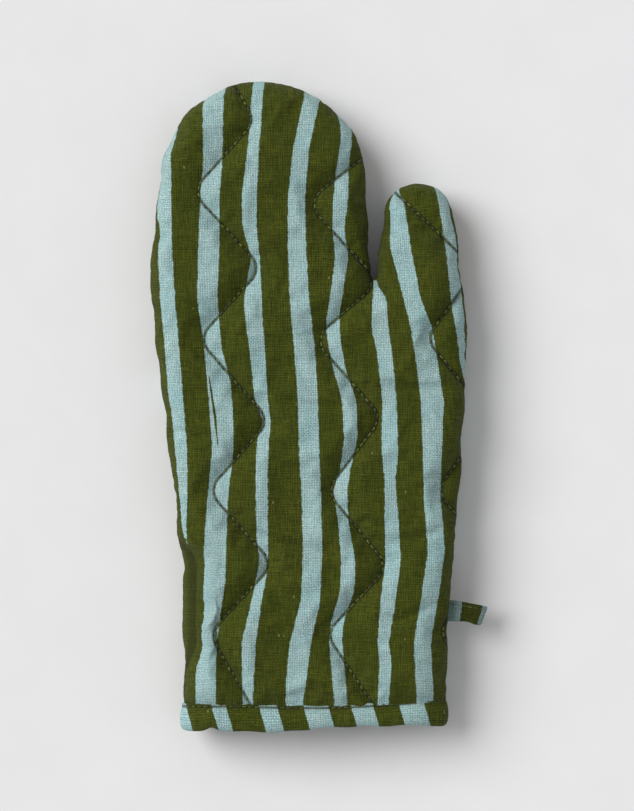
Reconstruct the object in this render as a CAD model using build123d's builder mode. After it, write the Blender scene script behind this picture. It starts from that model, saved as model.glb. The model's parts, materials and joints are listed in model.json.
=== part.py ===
from build123d import *
import os

# Quilted oven mitt, lying flat on its back panel.
# +X is the thumb side, +Y points to the fingertips, +Z is the front panel.
# The origin is on the table, under the middle of the overall box.

# Overall shape
THICKNESS = 34.0
EDGE_RADIUS = 15.0
CUFF_END = -165.0
MID_HEIGHT = THICKNESS / 2

# Wall layers, from outside to inside
OUTER = 1.0
PADDING = 4.4
LINING = 0.8
WALL = OUTER + PADDING + LINING

# Binding tape folded round the mouth of the cuff
BINDING_WIDTH = 12.4
TAPE = 0.8
SQUEEZED_OUTER = TAPE + OUTER
SQUEEZED_LINING = WALL - TAPE + 0.2
SQUEEZED_PADDING = SQUEEZED_LINING - LINING

# Sewing
THREAD_WIDTH = 0.9
THREAD_DEPTH = 0.45
SEAM_ALLOWANCE = 6.0
SEAM_THICKNESS = 3.0
TOPSTITCH_INSET = 1.4

# Quilting waves: the turning points of the three lines, fingertips to cuff
WAVE_RADIUS = 10.0
WAVES = [
    [(-48.0, 170.0), (-31.0, 144.5), (-62.0, 107.5), (-29.0, 69.5), (-60.5, 34.5),
     (-25.0, -6.5), (-56.0, -42.5), (-23.5, -79.5), (-55.0, -114.5), (-24.0, -165.0)],
    [(40.0, 140.0), (-3.5, 102.5), (30.0, 63.0), (-1.5, 34.0), (32.0, -4.5),
     (4.0, -42.5), (35.0, -80.5), (4.0, -114.5), (38.0, -165.0)],
    [(25.0, 121.5), (79.5, 70.0), (54.5, 34.0), (84.0, -5.0), (60.0, -42.5),
     (88.0, -79.5), (60.0, -113.5), (92.0, -165.0)],
]
STITCHED_INSET = 4.0

# Folds: the fingers fold about X, the thumb about a slanted line at its root
FINGER_FOLD_Y = 90.0
FINGER_FOLD_ANGLE = 60.0
THUMB_FOLD_POINT = (50.0, 63.5)
THUMB_FOLD_HEADING = 60.0
THUMB_FOLD_ANGLE = 45.0
FOLD_GAP = 0.3
CROTCH_X = 27.5

# Hanging loop of folded tape, sewn into the side seam; its root is round
LOOP_Y = -103.8
LOOP_WIDTH = 12.0
LOOP_ROOT_X = 68.6
LOOP_TIP_X = 85.7
LOOP_TAPE = 1.2
LOOP_BEND_RADIUS = 4.6
LOOP_TAILS_X = (55.0, 65.9)

# Corners of the outline with the radius that rounds each one; the crotch
# between the fingers and the thumb is rounded before the others
CROTCH = (27.4, 49.0)
CROTCH_RADIUS = 1.5
OUTLINE = [
    ((-68.2, -200.0), 0),
    ((-69.5, -76.7), 250.0),
    ((-86.4, 65.9), 120.0),
    ((-75.2, 158.2), 52.0),
    ((-22.2, 166.6), 42.8),
    ((22.4, 144.7), 45.9),
    (CROTCH, 0),
    ((35.2, 115.6), 16.5),
    ((67.0, 110.9), 19.3),
    ((76.0, 37.1), 121.0),
    ((70.8, -50.9), 200.0),
    ((66.1, -105.8), 200.0),
    ((63.3, -200.0), 0),
]


def mitt_outline(inset):
    """Flat outline of the mitt, drawn in by the given distance."""
    with BuildSketch() as outline:
        with BuildLine():
            Polyline(*[point for point, radius in OUTLINE], close=True)
        make_face()
        fillet(nearest_corner(outline, CROTCH), radius=CROTCH_RADIUS)
        if inset:
            offset(amount=-inset, kind=Kind.INTERSECTION)
        for point, radius in OUTLINE:
            if radius:
                fillet(nearest_corner(outline, point), radius=radius - inset)
    return outline.sketch


def nearest_corner(outline, point):
    """Corner of an outline that lies closest to a point in the plane."""
    return outline.vertices().sort_by_distance((*point, 0))[0]


def mitt_body(inset):
    """Solid mitt with rounded rims, drawn in by the given distance all over."""
    outline = mitt_outline(inset)
    with BuildPart() as body:
        with BuildSketch(Plane.XY.offset(inset)):
            add(outline)
        extrude(amount=THICKNESS - 2 * inset)
        rims = body.faces().filter_by(Axis.Z).edges()
        fillet(rims, radius=EDGE_RADIUS - inset)
    return body.part


def shell(outside, inside):
    """Layer of the wall between two nested mitt bodies."""
    with BuildPart() as layer:
        add(outside)
        add(inside, mode=Mode.SUBTRACT)
    return layer.part


def slab(y_low, y_high):
    """Block across the whole mitt between two distances along it."""
    with BuildPart() as block:
        with BuildSketch(Plane.XY.offset(-1)):
            with Locations((0, (y_low + y_high) / 2)):
                Rectangle(220, y_high - y_low)
        extrude(amount=THICKNESS + 2)
    return block.part


def wall_layer(outside, inside, squeezed_outside, squeezed_inside):
    """Layer of the wall that is squeezed thinner inside the binding."""
    with BuildPart() as layer:
        add(shell(outside, inside))
        add(above_binding, mode=Mode.INTERSECT)
        add(squeezed(squeezed_outside, squeezed_inside))
    return layer.part


def squeezed(outside, inside):
    """Part of a wall layer that lies inside the binding."""
    with BuildPart() as layer:
        add(outside)
        add(inside, mode=Mode.SUBTRACT)
        add(within_binding, mode=Mode.INTERSECT)
    return layer.part


def fold_side(plane, half_angle, near, far, x_low, x_high):
    """Region beyond a fold; its front face leans by half the fold angle."""
    reach = 25.0
    lean = reach * tan_degrees(half_angle)
    with BuildPart() as region:
        with BuildSketch(plane):
            with BuildLine():
                Polyline(
                    (near, -reach),
                    (near, 0),
                    (near + lean * far, reach),
                    (150, reach),
                    (150, -reach),
                    close=True,
                )
            make_face()
        extrude(amount=150, both=True)
        with BuildSketch(Plane.XY.offset(-10)):
            with Locations(((x_low + x_high) / 2, 50)):
                Rectangle(x_high - x_low, 300)
        extrude(amount=THICKNESS + 20, mode=Mode.INTERSECT)
    return region.part


def tan_degrees(angle):
    """Tangent of an angle in degrees, taken from a unit vector."""
    direction = Vector(1, 0, 0).rotate(Axis.Z, angle)
    return direction.Y / direction.X


def save(part, name):
    """Label one finished piece and write its STEP file."""
    part.label = name
    export_step(part, f"parts/{name}.step")


os.makedirs("parts", exist_ok=True)

# Blocks that divide the mitt into its regions
above_binding = slab(CUFF_END + BINDING_WIDTH, 180)
within_binding = slab(CUFF_END + TAPE, CUFF_END + BINDING_WIDTH)
binding_span = slab(CUFF_END, CUFF_END + BINDING_WIDTH)

finger_plane = Plane(
    origin=(0, FINGER_FOLD_Y, MID_HEIGHT), x_dir=(0, 1, 0), z_dir=(1, 0, 0)
)
thumb_heading = Vector(1, 0, 0).rotate(Axis.Z, THUMB_FOLD_HEADING)
thumb_axis = Vector(1, 0, 0).rotate(Axis.Z, THUMB_FOLD_HEADING - 90)
thumb_plane = Plane(
    origin=(*THUMB_FOLD_POINT, MID_HEIGHT), x_dir=thumb_heading, z_dir=thumb_axis
)

half_gap = FOLD_GAP / 2
finger_half = FINGER_FOLD_ANGLE / 2
thumb_half = THUMB_FOLD_ANGLE / 2
fingers_wide = fold_side(finger_plane, finger_half, -half_gap, -1, -110, CROTCH_X)
fingers_mid = fold_side(finger_plane, finger_half, -half_gap, 1, -110, CROTCH_X)
fingers_region = fold_side(finger_plane, finger_half, half_gap, 1, -110, CROTCH_X)
thumb_wide = fold_side(thumb_plane, thumb_half, -half_gap, -1, CROTCH_X, 110)
thumb_mid = fold_side(thumb_plane, thumb_half, -half_gap, 1, CROTCH_X, 110)
thumb_region = fold_side(thumb_plane, thumb_half, half_gap, 1, CROTCH_X, 110)

with BuildPart() as palm_region:
    add(slab(CUFF_END, 180))
    add(fingers_wide, mode=Mode.SUBTRACT)
    add(thumb_wide, mode=Mode.SUBTRACT)

with BuildPart() as finger_wedge:
    add(fingers_wide)
    add(fingers_mid, mode=Mode.SUBTRACT)

with BuildPart() as thumb_wedge:
    add(thumb_wide)
    add(thumb_mid, mode=Mode.SUBTRACT)

with BuildPart() as front_half:
    with BuildSketch(Plane.XY.offset(MID_HEIGHT)):
        Rectangle(220, 400)
    extrude(amount=THICKNESS)

with BuildPart() as back_half:
    with BuildSketch(Plane.XY.offset(MID_HEIGHT)):
        Rectangle(220, 400)
    extrude(amount=-THICKNESS)

# Nested bodies, one for each face of each layer
body_skin = mitt_body(0)
body_thread = mitt_body(THREAD_DEPTH)
body_tape = mitt_body(TAPE)
body_outer = mitt_body(OUTER)
body_squeezed_outer = mitt_body(SQUEEZED_OUTER)
body_squeezed_padding = mitt_body(SQUEEZED_PADDING)
body_padding = mitt_body(OUTER + PADDING)
body_squeezed_lining = mitt_body(SQUEEZED_LINING)
body_hollow = mitt_body(WALL)

# Quilting thread, sunk into the outer cloth along the waves
with BuildPart() as quilting_cut:
    with BuildSketch(Plane.XY.offset(-1)):
        for turns in WAVES:
            with BuildLine() as wave:
                FilletPolyline(*turns, radius=WAVE_RADIUS)
            trace(wave.edges(), line_width=THREAD_WIDTH)
    extrude(amount=THICKNESS + 2)

with BuildPart() as stitched_area:
    with BuildSketch(Plane.XY.offset(-1)):
        add(mitt_outline(STITCHED_INSET))
    extrude(amount=THICKNESS + 2)

with BuildPart() as quilting:
    add(shell(body_skin, body_thread))
    add(quilting_cut.part, mode=Mode.INTERSECT)
    add(stitched_area.part, mode=Mode.INTERSECT)
    add(above_binding, mode=Mode.INTERSECT)

# Loop tape: a drop-shaped bend outside the seam and two tails sewn into it
bend_x = LOOP_TIP_X - LOOP_BEND_RADIUS
with BuildPart() as hanging_loop:
    with BuildSketch(Plane.XZ.offset(-LOOP_Y)):
        with Locations((LOOP_ROOT_X, MID_HEIGHT)):
            Circle(LOOP_TAPE)
        with Locations((bend_x, MID_HEIGHT)):
            Circle(LOOP_BEND_RADIUS)
        make_hull()
    extrude(amount=LOOP_WIDTH / 2, both=True)
    with BuildSketch(Plane.XZ.offset(-LOOP_Y)):
        with Locations((LOOP_ROOT_X + LOOP_TAPE, MID_HEIGHT)):
            Circle(LOOP_TAPE / 4)
        with Locations((bend_x, MID_HEIGHT)):
            Circle(LOOP_BEND_RADIUS - LOOP_TAPE)
        make_hull()
    extrude(amount=LOOP_WIDTH, both=True, mode=Mode.SUBTRACT)

with BuildPart() as loop_tails:
    with Locations((sum(LOOP_TAILS_X) / 2, LOOP_Y, MID_HEIGHT)):
        Box(LOOP_TAILS_X[1] - LOOP_TAILS_X[0], LOOP_WIDTH, 2 * LOOP_TAPE)

# Wall layers
outer = wall_layer(body_skin, body_outer, body_tape, body_squeezed_outer)
padding = wall_layer(
    body_outer, body_padding, body_squeezed_outer, body_squeezed_padding
)
lining = wall_layer(
    body_padding, body_hollow, body_squeezed_padding, body_squeezed_lining
)

with BuildPart() as grooved_outer:
    add(outer)
    add(quilting.part, mode=Mode.SUBTRACT)

# Seam allowance: the cut edges of both panels, overlocked, inside the pocket
with BuildPart() as side_seam:
    with BuildSketch(Plane.XY.offset(MID_HEIGHT - SEAM_THICKNESS / 2)):
        add(mitt_outline(WALL))
        add(mitt_outline(WALL + SEAM_ALLOWANCE), mode=Mode.SUBTRACT)
    extrude(amount=SEAM_THICKNESS)
    add(above_binding, mode=Mode.INTERSECT)

halves = {"front": front_half.part, "back": back_half.part}
regions = {
    "palm": palm_region.part,
    "fingers": fingers_region,
    "thumb": thumb_region,
}
wedges = {"finger_fold": finger_wedge.part, "thumb_fold": thumb_wedge.part}
layers = {
    "outer": grooved_outer.part,
    "padding": padding,
    "lining": lining,
    "quilting": quilting.part,
}

# Front and back panels, layer by layer, cut where the mitt folds
for half_name, half in halves.items():
    for layer_name, layer in layers.items():
        for region_name, region in regions.items():
            with BuildPart() as panel:
                add(layer)
                add(half, mode=Mode.INTERSECT)
                add(region, mode=Mode.INTERSECT)
                if region_name == "palm" and layer_name != "quilting":
                    add(loop_tails.part, mode=Mode.SUBTRACT)
            save(panel.part, f"{half_name}_{layer_name}_{region_name}")

# Soft wedges of the front panel that crumple when the mitt folds
for wedge_name, wedge in wedges.items():
    for layer_name, layer in layers.items():
        with BuildPart() as crease:
            add(layer)
            add(front_half.part, mode=Mode.INTERSECT)
            add(wedge, mode=Mode.INTERSECT)
        save(crease.part, f"{wedge_name}_{layer_name}")

# Side seam in the three regions
for region_name, region in regions.items():
    with BuildPart() as seam:
        add(side_seam.part)
        add(region, mode=Mode.INTERSECT)
        if region_name == "palm":
            add(loop_tails.part, mode=Mode.SUBTRACT)
    save(seam.part, f"side_seam_{region_name}")

# Binding with its line of topstitching
with BuildPart() as binding_stitching:
    add(shell(body_skin, body_thread))
    add(
        slab(
            CUFF_END + BINDING_WIDTH - TOPSTITCH_INSET - THREAD_WIDTH,
            CUFF_END + BINDING_WIDTH - TOPSTITCH_INSET,
        ),
        mode=Mode.INTERSECT,
    )

with BuildPart() as cuff_binding:
    add(shell(body_skin, body_hollow))
    add(binding_span, mode=Mode.INTERSECT)
    add(squeezed(body_tape, body_squeezed_lining), mode=Mode.SUBTRACT)
    add(binding_stitching.part, mode=Mode.SUBTRACT)

save(binding_stitching.part, "binding_stitching")
save(cuff_binding.part, "cuff_binding")
save(loop_tails.part, "loop_sewn_ends")
save(hanging_loop.part, "hanging_loop")
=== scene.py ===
import json
import math

import bmesh
import bpy
import numpy as np
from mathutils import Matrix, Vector
from mathutils.bvhtree import BVHTree
from mathutils.geometry import delaunay_2d_cdt


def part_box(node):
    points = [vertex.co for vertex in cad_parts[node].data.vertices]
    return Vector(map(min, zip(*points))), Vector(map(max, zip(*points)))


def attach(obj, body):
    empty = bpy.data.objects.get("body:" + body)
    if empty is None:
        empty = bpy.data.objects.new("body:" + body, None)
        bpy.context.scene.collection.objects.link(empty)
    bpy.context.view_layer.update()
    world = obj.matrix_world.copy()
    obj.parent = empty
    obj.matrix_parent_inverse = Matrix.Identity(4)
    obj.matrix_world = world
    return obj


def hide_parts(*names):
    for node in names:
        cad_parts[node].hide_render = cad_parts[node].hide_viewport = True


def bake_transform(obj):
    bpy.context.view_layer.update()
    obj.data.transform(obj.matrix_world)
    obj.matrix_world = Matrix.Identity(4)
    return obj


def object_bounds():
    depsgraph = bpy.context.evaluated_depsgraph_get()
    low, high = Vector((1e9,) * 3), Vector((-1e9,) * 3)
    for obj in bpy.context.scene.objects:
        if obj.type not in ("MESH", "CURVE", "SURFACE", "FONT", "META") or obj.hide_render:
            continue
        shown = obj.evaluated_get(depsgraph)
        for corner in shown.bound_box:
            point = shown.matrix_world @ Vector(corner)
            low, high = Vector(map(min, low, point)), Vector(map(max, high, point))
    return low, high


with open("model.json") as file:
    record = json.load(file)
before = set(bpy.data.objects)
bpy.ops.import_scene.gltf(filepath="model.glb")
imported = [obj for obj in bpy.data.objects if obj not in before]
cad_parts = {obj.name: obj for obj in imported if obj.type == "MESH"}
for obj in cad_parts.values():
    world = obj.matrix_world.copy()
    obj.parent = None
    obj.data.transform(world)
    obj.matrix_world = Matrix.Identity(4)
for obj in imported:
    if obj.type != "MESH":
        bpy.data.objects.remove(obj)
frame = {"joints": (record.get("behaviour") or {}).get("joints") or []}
cad_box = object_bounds()

# Quilted oven mitt that lies on its back panel: +X is the thumb side, +Y the fingertips and
# +Z the front. Lengths are millimetres here, and new_mesh turns them into metres.

# ---- Sizes ----
MM = 0.001


def cad_mm(length):
    """A length of the CAD model in millimetres, to a tenth."""
    return round(length / MM, 1)


cuff_low, cuff_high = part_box("cuff_binding")
joint_places = {joint["name"]: [cad_mm(v) for v in joint["pos_m"]] for joint in frame["joints"]}

SEAM_Z = cad_mm(cad_box[1].z / 2)
CUFF_END = cad_mm(cuff_low.y)
CUFF_TOP = cad_mm(cuff_high.y)
PANEL_END = CUFF_END + 5.0
LOOP_ROOT_X, LOOP_Y = joint_places["loop_swing"][:2]

# Rims are quarter ellipses, RIM wide and RIM_HEIGHT high; puffs rise between the stitched lines
RIM = 19.0
RIM_HEIGHT = 12.4
PUFF = 4.9
PUFF_WIDTH = 14.0

# Corners of the outline, each with the radius that rounds it
CROTCH = (27.4, 49.0)
OUTLINE = [
    ((-68.4, -190.0), 0), ((-69.5, -76.7), 250.0), ((-86.4, 65.9), 120.0),
    ((-75.2, 158.4), 52.0), ((-22.2, 166.9), 42.8), ((22.4, 144.7), 45.9),
    (CROTCH, 1.5), ((35.2, 115.6), 16.5), ((67.0, 110.9), 19.3),
    ((76.0, 37.1), 121.0), ((70.8, -50.9), 200.0), ((66.1, -105.8), 200.0),
    ((63.6, -190.0), 0),
]

# Turning points of the three rounded zigzag quilting lines, fingertips to cuff
WAVE_RADIUS = 9.0
WAVES = [
    [(-48, 172), (-32, 144), (-64, 108.5), (-28.5, 70), (-60.8, 34), (-24.5, -7),
     (-56, -42.5), (-22.8, -79.5), (-55, -114.5), (-29, -160)],
    [(40, 140), (-6.2, 103), (30.5, 62.8), (-2.6, 34), (32.3, -5.5), (3.8, -42.5),
     (35.5, -81), (3.6, -114.5), (34, -160)],
    [(25, 121.5), (79.5, 69.5), (54.3, 34), (86, -5), (59.7, -42.5), (90, -79.5),
     (60, -113.5), (96, -160)],
]

# The thumb is parted from the hand along a slanted line that starts at the crotch
THUMB_SLANT = math.sqrt(3) / 2
THUMB_NORMAL = np.array([0.5, THUMB_SLANT])
THUMB_CUT = np.array([27.5, 63.3])
THUMB_START = float(THUMB_NORMAL @ THUMB_CUT)

# The flat triangulation: insets of its rings along the rim, and its grid's spacing.
# The lining starts at the last ring, and the padding at PADDING_RING.
RINGS = [0.0, 0.3, 1.1, 2.5, 4.3, 6.5]
PADDING_RING = 3
GRID = 2.7
GRID_CLEARANCE = 1.5


# ---- Plane geometry ----
def rounded_path(corners, step):
    """Points along a polyline whose corners are rounded by circular arcs."""
    path = [np.array(corners[0][0], float)]
    for (before, _), (corner, radius), (after, _) in zip(corners, corners[1:], corners[2:]):
        a, b, c = (np.array(q, float) for q in (before, corner, after))
        u = (a - b) / np.linalg.norm(a - b)
        v = (c - b) / np.linalg.norm(c - b)
        half = math.acos(float(np.clip(u @ v, -1, 1))) / 2
        start = b + u * radius / math.tan(half)
        centre = b + (u + v) / np.linalg.norm(u + v) * radius / math.sin(half)
        end = b + v * radius / math.tan(half)
        a0, a1 = (math.atan2(*(q - centre)[::-1]) for q in (start, end))
        turn = (a1 - a0 + math.pi) % (2 * math.pi) - math.pi
        count = max(6, int(abs(turn) * radius / step))
        angles = a0 + turn * np.arange(count + 1) / count
        arc = centre + radius * np.stack([np.cos(angles), np.sin(angles)], 1)
        path.extend(straight(path[-1], arc[0], step))
        path.extend(arc)
    last = np.array(corners[-1][0], float)
    path.extend(straight(path[-1], last, step))
    return np.array([*path, last])


def straight(a, b, step):
    """Points strictly between two ends, about one step apart."""
    count = max(1, int(np.linalg.norm(b - a) / step))
    return [a + (b - a) * k / count for k in range(1, count)]


def lengths_along(path):
    """Distance along a path at each of its points."""
    return np.concatenate([[0], np.cumsum(np.linalg.norm(np.diff(path, axis=0), axis=1))])


def read_off(places, along, table):
    """Each column of a table whose rows lie along a path, read off at the given places."""
    return np.stack([np.interp(places, along, column) for column in table.T], 1)


def resample(path, step):
    """The same path with its points spaced evenly."""
    along = lengths_along(path)
    count = max(2, int(round(along[-1] / step)))
    return read_off(np.linspace(0, along[-1], count + 1), along, path)


def path_normals(path):
    """Unit normals that point to the left of the way along a path."""
    way = np.gradient(path, axis=0)
    way /= np.linalg.norm(way, axis=1)[:, None]
    return np.stack([-way[:, 1], way[:, 0]], 1)


def nearest(points, path):
    """Distance to a path, place along it, and the side, for each point."""
    steps = np.diff(path, axis=0)
    length = np.linalg.norm(steps, axis=1)
    along = lengths_along(path)
    best = np.full(len(points), 1e9)
    place = np.zeros(len(points))
    side = np.ones(len(points))
    for k, step in enumerate(steps):
        rel = points - path[k]
        t = np.clip(rel @ step / max(length[k] ** 2, 1e-9), 0, 1)
        gap = np.linalg.norm(rel - t[:, None] * step, axis=1)
        near = gap < best
        best = np.where(near, gap, best)
        place = np.where(near, along[k] + t * length[k], place)
        side = np.where(near, np.sign(step[0] * rel[:, 1] - step[1] * rel[:, 0]), side)
    return best, place, side


def smooth(low, high, x):
    """Smooth step from 0 at low to 1 at high."""
    t = np.clip((x - low) / (high - low), 0, 1)
    return t * t * (3 - 2 * t)


def ripple(points, wavelength, seed, waves=14):
    """Smooth random field, about -1 to 1, made of plane waves."""
    rng = np.random.default_rng(seed)
    total = np.zeros(len(points))
    for _ in range(waves):
        heading = rng.normal(size=points.shape[1])
        heading /= np.linalg.norm(heading)
        pitch = wavelength * rng.uniform(0.7, 1.5)
        total += np.sin(points @ heading * 2 * math.pi / pitch + rng.uniform(0, 2 * math.pi))
    return total / math.sqrt(waves)


outline_path = rounded_path(OUTLINE, 2.3)
outline_fine = rounded_path(OUTLINE, 0.8)
wave_paths = [rounded_path([(q, WAVE_RADIUS) for q in turns], 1.0) for turns in WAVES]


def inside(points):
    """Whether each point lies within the mitt's outline."""
    x, y = points[:, 0], points[:, 1]
    hit = np.zeros(len(points), bool)
    for (x0, y0), (x1, y1) in zip(outline_fine, np.roll(outline_fine, -1, axis=0)):
        if y0 != y1:
            hit ^= ((y0 > y) != (y1 > y)) & (x < (x1 - x0) * (y - y0) / (y1 - y0) + x0)
    return hit


def on_thumb(points):
    """Whether each point lies past the line that parts the thumb from the hand."""
    return (points @ THUMB_NORMAL > THUMB_START) & (points[..., 0] > THUMB_CUT[0])


# ---- One flat triangulation, shared by every layer of both panels ----
def stretches(points, good):
    """The unbroken runs of good points along a path."""
    runs, run = [], []
    for q, ok in zip(points, good):
        if ok:
            run.append(q)
        elif run:
            runs.append(run)
            run = []
    return [*runs, run] if run else runs


def run_to_end(tip, behind):
    """Where a run whose last two points are given meets the end of the panel."""
    return tip + (tip - behind) * (tip[1] - PANEL_END) / (behind[1] - tip[1])


def ring_runs():
    """Rings that follow the rim at each inset, open at the cuff."""
    inward = -path_normals(outline_path)
    for inset in RINGS:
        ring = outline_path + inward * inset
        for run in stretches(ring, ring[:, 1] > PANEL_END + 0.6):
            yield [run_to_end(run[0], run[1]), *run, run_to_end(run[-1], run[-2])]


def stitched_runs():
    """Quilting lines, the thumb's cut and rows across the cuff, clear of the rim."""
    for path in wave_paths:
        path = resample(path, 2.2)
        gap, _, _ = nearest(path, outline_fine)
        yield from stretches(path, inside(path) & (path[:, 1] > PANEL_END + 1) & (gap > 0.8))
    cut = resample(np.array([THUMB_CUT, THUMB_CUT + np.array([THUMB_SLANT, -0.5]) * 60]), 2.2)
    gap, _, _ = nearest(cut, outline_fine)
    yield [q for q, g, ok in zip(cut, gap, inside(cut)) if ok and g > 0.8]
    left = float(np.interp(PANEL_END, outline_fine[:40, 1], outline_fine[:40, 0]))
    for y in (PANEL_END, PANEL_END + 3.8, CUFF_TOP - 0.8, CUFF_TOP + 1.0):
        yield list(resample(np.array([[left + 2, y], [61.5, y]]), 2.5))


def grid_points(fixed):
    """Triangular grid inside the rings that keeps clear of the fixed points."""
    xs = np.arange(-90, 90, GRID)
    ys = np.arange(PANEL_END, 170, GRID * math.sqrt(3) / 2)
    grid = np.array([(x + (GRID / 2 if j % 2 else 0), y) for j, y in enumerate(ys) for x in xs])
    grid = grid[inside(grid)]
    gap, _, _ = nearest(grid, outline_fine)
    cells = {}
    for q in fixed:
        cells.setdefault((int(q[0] // 3), int(q[1] // 3)), []).append(q)
    for q in grid[gap > RINGS[-1] + 1.4]:
        i, j = int(q[0] // 3), int(q[1] // 3)
        around = [p for a in (-1, 0, 1) for b in (-1, 0, 1) for p in cells.get((i + a, j + b), ())]
        if all((p[0] - q[0]) ** 2 + (p[1] - q[1]) ** 2 > GRID_CLEARANCE ** 2 for p in around):
            yield q


def compact(count, faces):
    """The points that faces use, and the faces numbered by them."""
    used = np.unique(faces)
    index = np.full(count, -1)
    index[used] = np.arange(len(used))
    return used, index[faces]


def build_plan():
    """Vertices and triangles of the mitt seen from above."""
    verts, edges = [], []
    for run in (*ring_runs(), *stitched_runs()):
        if len(run) > 1:
            edges.extend((len(verts) + k, len(verts) + k + 1) for k in range(len(run) - 1))
            verts.extend(run)
    verts.extend(grid_points(np.array(verts)))
    out = delaunay_2d_cdt([Vector(q) for q in verts], edges, [], 0, 1e-4)
    points = np.array([tuple(q) for q in out[0]])
    faces = np.array([tuple(f) for f in out[2] if len(f) == 3])
    centre = points[faces].mean(1)
    used, faces = compact(len(points), faces[inside(centre) & (centre[:, 1] > PANEL_END)])
    return points[used], faces


plan, tris = build_plan()
edge_gap, edge_place, _ = nearest(plan, outline_fine)
is_thumb = on_thumb(plan[tris].mean(1))

# Distance to the nearest quilting line, and a place that differs on each side of each line
wave_gap = np.full(len(plan), 1e9)
wave_place = np.zeros(len(plan))
for k, path in enumerate(wave_paths):
    gap, place, side = nearest(plan, path)
    wave_place = np.where(gap < wave_gap, place + 1000 * k + 500 * side, wave_place)
    wave_gap = np.minimum(gap, wave_gap)


# ---- Heights of the layers ----
def inward_at(place):
    """Unit vector that points into the mitt at each place along the outline."""
    return read_off(place, lengths_along(outline_fine), -path_normals(outline_fine))


def rim_profile(gap, reach):
    """Quarter ellipse that rises from 0 at the seam to 1."""
    t = np.clip(gap / reach, 0, 1)
    return np.sqrt(np.clip(1 - (1 - t) ** 2, 0, 1))


def cuff_rise(x):
    """How far the binding's sewn edge stands above its straight line, from left to right."""
    return np.interp(x, [-68, -46, -14, 11, 41, 64], [2.0, 2.5, 1.6, 1.7, 3.5, 5.6])


def sewn_height(points, gap, front):
    """Height above the seam of the cloth where it is stitched down."""
    x, y = points[:, 0], points[:, 1]
    level = 12.1 - 1.6 * smooth(60, 160, y) if front else 12.4 - 1.0 * smooth(60, 160, y)
    thumb = smooth(THUMB_START - 6, THUMB_START + 26, points @ THUMB_NORMAL) * smooth(22, 31, x)
    level = level - 1.6 * thumb
    crown = (1.5 if front else 0.6) * (1 - (1 - np.clip(gap / 58, 0, 1)) ** 2)
    return level * rim_profile(gap, RIM) + crown


def puff_height(points, gap, line_gap, line_place):
    """How far the padding lifts the cloth between its stitched lines."""
    cuff_gap = np.clip(points[:, 1] - cuff_rise(points[:, 0]) - (CUFF_TOP - 0.8), 0, 99)
    near = np.minimum(np.minimum(line_gap, cuff_gap), gap * 1.5 + 1.5)
    rise = (1 - (1 - np.clip(near / PUFF_WIDTH, 0, 1)) ** 2.3) ** 0.8
    pucker = ripple(line_place[:, None], 7.5, 5, 10)
    window = smooth(0.3, 2.2, line_gap) * (1 - smooth(4.5, 11, line_gap))
    field = ripple(points, 34, 11) * 0.45 + ripple(points, 15, 12) * 0.16
    return PUFF * rise * (1 + 0.09 * field) + 0.42 * pucker * window * smooth(1, 4, gap)


# Soft wrinkles across the front: two ends, depth and half-width of each
CREASES = [
    ((-30.7, -64.2), (3.0, -74.5), 1.1, 2.6), ((33.8, -70.3), (62.0, -63.0), 0.8, 3.0),
    ((-16.5, 2.2), (7.0, -1.0), 0.7, 3.0), ((-27.0, 46.0), (-4.0, 35.5), 0.7, 3.0),
    ((34.0, 10.9), (66.0, 8.4), 0.7, 3.4), ((49.0, -128.0), (64.0, -133.5), 0.8, 2.6),
    ((-78.0, -11.5), (-62.0, -15.0), 0.8, 2.6), ((29.5, 62.5), (43.0, 49.0), 0.9, 2.2),
    ((27.5, 60.0), (21.0, 46.0), 0.6, 2.0), ((-24.0, -147.5), (-2.0, -144.0), 0.7, 2.6),
    ((65.0, -34.0), (72.0, -24.0), 0.7, 2.4), ((-72.0, 92.0), (-58.0, 86.0), 0.5, 3.0),
    ((-16.0, 120.0), (8.0, 112.0), 0.5, 3.5), ((44.0, 92.0), (60.0, 84.0), 0.5, 2.6),
    ((-18.0, -112.0), (0.0, -119.0), 0.6, 3.0), ((60.0, -100.0), (40.0, -108.0), 0.6, 3.0),
]
CREASE_SCALE = 1.5


def crease_depth(points):
    """Depth of the soft wrinkles at each point."""
    total = np.zeros(len(points))
    for a, b, depth, width in CREASES:
        gap, _, _ = nearest(points, np.array([a, b], float))
        total += CREASE_SCALE * depth * np.exp(-(gap / width) ** 2)
    return total


sewn_front = sewn_height(plan, edge_gap, True)
sewn_back = sewn_height(plan, edge_gap, False)
puffs = puff_height(plan, edge_gap, wave_gap, wave_place)
rim_puffs = puffs * smooth(-0.5, 4.0, edge_gap)
front_z = SEAM_Z + sewn_front + rim_puffs - crease_depth(plan)
back_z = SEAM_Z - sewn_back - rim_puffs

# The rim wanders a little, and the seam nips it in on both sides, above the cuff
wander_size = 0.45 * smooth(-150, -135, plan[:, 1]) * (1 - smooth(6, 16, edge_gap))
wander = np.stack([ripple(plan, 30, 51), ripple(plan, 30, 52)], 1) * wander_size[:, None]
seam_nip = np.interp(edge_gap, RINGS, [1.0, 0.1, -0.8, -0.6, -0.2, 0])
seam_pucker = 0.09 * ripple(edge_place[:, None], 7.5, 61) * np.exp(-((edge_gap - 1.8) / 2.2) ** 2)
above_cuff = smooth(-151, -146, plan[:, 1])
wander += inward_at(edge_place) * ((seam_nip + seam_pucker) * above_cuff)[:, None]

SEAM_TURN = 0.62
SEAM_DRAWN_IN = 2.6


def seam_turned(y):
    """How much of SEAM_TURN, in radians, the left seam is turned towards the front."""
    return smooth(-64, -78, y) * (1 - 0.85 * smooth(-118, -138, y))


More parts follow.
